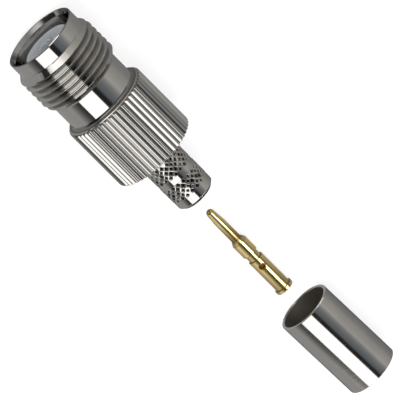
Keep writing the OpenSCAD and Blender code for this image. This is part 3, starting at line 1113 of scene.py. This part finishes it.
def makeSheet():
    # A dark sheet on the table, seen only in reflections, so that the flanks stay darker than paper.
    stops = [((y + sheetSpan / 2) / sheetSpan, tinted(glow, plain)) for y, glow in sheetStops]

    def build(tree):
        coords = tree.nodes.new("ShaderNodeTexCoord")
        split = tree.nodes.new("ShaderNodeSeparateXYZ")
        tree.links.new(coords.outputs["Object"], split.inputs[0])
        across = mathNode(tree, "MULTIPLY_ADD", split.outputs["Y"], 1 / (sheetSpan * mm), 0.5, clamp=True)
        return rampFrom(tree, across, stops)

    half, reach = studio["tunnelHalf"], studio["sheetReach"]
    corners = level(-half, half, -reach, reach, studio["cardLift"] / 2)
    onlyReflected(addFlat("studio_sheet", corners, glowMaterial("studio_sheet", studio["white"], build)))


def addCard(name, corners, glow):
    # A plain card.
    onlyReflected(addFlat(name, corners, glowMaterial(name, glow)))


def addSideCard():
    # A dark card that stands low on the left in front of the barrel. Only faces that look straight
    # towards the mouth see it.
    x0, x1, far, low, top = 0.031, 0.055, 0.045, studio["cardLift"], 0.03
    addCard("side_card", [(x0, far, low), (x1, far, low), (x1, far, top), (x0, far, top)], 0.03)


def addLipCard():
    # A small bright card on the table before the mouth, which draws the fine line on the near lip.
    addCard("lip_card", level(0.0331, 0.0352, -0.0018, -0.0001, studio["cardLift"]), 3.0)


def addPatch(name, angles, xs, radius, glows, tint=plain):
    # A card on a smaller tunnel, in angles (first, last) and xs (first, last), with the levels in
    # glows at equal steps of angle.
    stops = [(i / (len(glows) - 1), tinted(glow, tint)) for i, glow in enumerate(glows)]
    addArch(name, np.linspace(angles[0], angles[1], 33), xs, radius, stops, studio["patchLift"])


def makePinTunnel():
    # The cards over the contact: part of a small tunnel and a bright sheet below it.
    radius, x0, x1, white = 0.006, -0.0179, -0.0016, 5.0
    side = contactSide * mm
    stops = [((angle + 90) / 180, tinted(glow, plain, white)) for angle, glow in pinCards]
    addArch("pin_tunnel", np.linspace(-90, 90, 121), [x0, x1], radius, stops, 0.0012, side, white)
    addCard("pin_sheet", level(x0, x1, side - radius, side + radius, 0.0003), 0.44)


makeTable()
makeTunnel()
makeSheet()
addSideCard()
addLipCard()

# cards in front of the tunnel, for the faces that lean towards the mouth
front = 0.5
addPatch("gap_flag", (-80, 80), (-0.09, 0.62), front + 0.02, [0.03, 0.03, 0.10, 0.18, 0.2])
addPatch("lean_card", (-84, 84), (0.235, 0.335), front - 0.01, [
    0.30, 0.20, 0.12, 0.05, 0.03, 0.04, 0.18, 0.55, 0.78, 0.84, 0.82, 0.78, 0.70,
    0.55, 0.42, 0.34, 0.31, 0.33, 0.36, 0.38, 0.40, 0.40, 0.38, 0.36, 0.35])
addPatch("chamfer_card", (-63, 0), (0.60, 1.0), front, [0.9, 1.7, 2.0, 1.9, 1.5])
addPatch("chamfer_side", (0, 28), (0.56, 1.0), front, [1.4, 1.15, 0.9], tint=warm)
addPatch("chamfer_low", (28, 85), (0.20, 1.0), front, [0.72, 0.6, 0.5, 0.4], tint=warm)
addPatch("chamfer_flag", (-88, -63), (0.60, 1.0), front, [0.2, 0.08, 0.08, 0.5])
addPatch("far_flag", (-60, 70), (1.0, 1.7), front, [0.06, 0.05, 0.08, 0.2])
addPatch("thread_left", (-88, -53.5), (-0.55, -0.24), front, [0.75, 0.7, 0.65], tint=warm)
addPatch("thread_right", (26, 88), (-0.55, -0.24), front, [0.35, 0.55, 0.6], tint=warm)

# a small set of cards close over the contact, which is lit from the other side
pinCards = [
    (-90, 0.50), (-70, 0.70), (-57, 0.76), (-46, 0.58), (-36, 0.36), (-26, 0.18), (-12, 0.07), (6, 0.07),
    (8, 5.0), (34, 5.0), (36, 0.05), (46, 0.12), (56, 0.24), (66, 0.30), (76, 0.42), (90, 0.46),
]
makePinTunnel()


def addSoftLight(name, place, power):
    light = bpy.data.lights.new(name, "AREA")
    light.shape = "RECTANGLE"
    light.size = light.size_y = studio["lightSize"]
    light.energy = power
    obj = linkObject(name, light)
    obj.rotation_euler = (-Vector(place)).to_track_quat("-Z", "Y").to_euler()
    obj.location = place
    obj.visible_glossy = False


addSoftLight("key_soft", (0.05, 0.35, 0.8), 6.0)
addSoftLight("fill_soft", (0.1, -0.45, 0.7), 3.0)

world = bpy.data.worlds.new("studio_world")
bpy.context.scene.world = world
world.use_nodes = True
background = world.node_tree.nodes["Background"]
background.inputs["Color"].default_value = (1, 1, 1, 1)
background.inputs["Strength"].default_value = studio["worldLevel"]


# the camera: far away, square to the photograph's frame, looking down past the mouth

view = {
    "framePixels": 400,
    "pixelsPerMm": 8.33,        # at the point looked at
    "distance": 1300.0,
    "tilt": math.radians(19.85),
    "axisPixel": 1.6,        # the body's axis lies this far right of the middle, along its own width
    "noseToCentre": 28.918,        # along the axis, from the lip to the point looked at
    "sensor": 36.0,
}


def makeCamera():
    v = view
    toNose = Vector((math.cos(v["tilt"]), 0, -math.sin(v["tilt"])))
    across = Vector((0, -1, 0))
    back = Vector((math.sin(v["tilt"]), 0, math.cos(v["tilt"])))
    right = (across - toNose).normalized()
    up = (across + toNose).normalized()
    lip = bodyAxis["rearX"] + shell["lipZ"]
    target = Vector((lip - v["noseToCentre"], bodyAxis["side"] + v["axisPixel"] / v["pixelsPerMm"],
                     bodyAxis["height"])) * mm
    camera = bpy.data.cameras.new("photo_camera")
    camera.sensor_width = v["sensor"]
    frameWidth = v["framePixels"] / v["pixelsPerMm"]
    camera.lens = v["sensor"] * v["distance"] / frameWidth
    camera.clip_start, camera.clip_end = 0.05, 20
    obj = linkObject("photo_camera", camera)
    turn = Matrix((right, up, back)).transposed()
    obj.matrix_world = Matrix.Translation(target + back * v["distance"] * mm) @ turn.to_4x4()
    bpy.context.scene.camera = obj


makeCamera()
bpy.context.scene.view_settings.view_transform = "Standard"
print("studio and camera made")

bpy.context.view_layer.update()
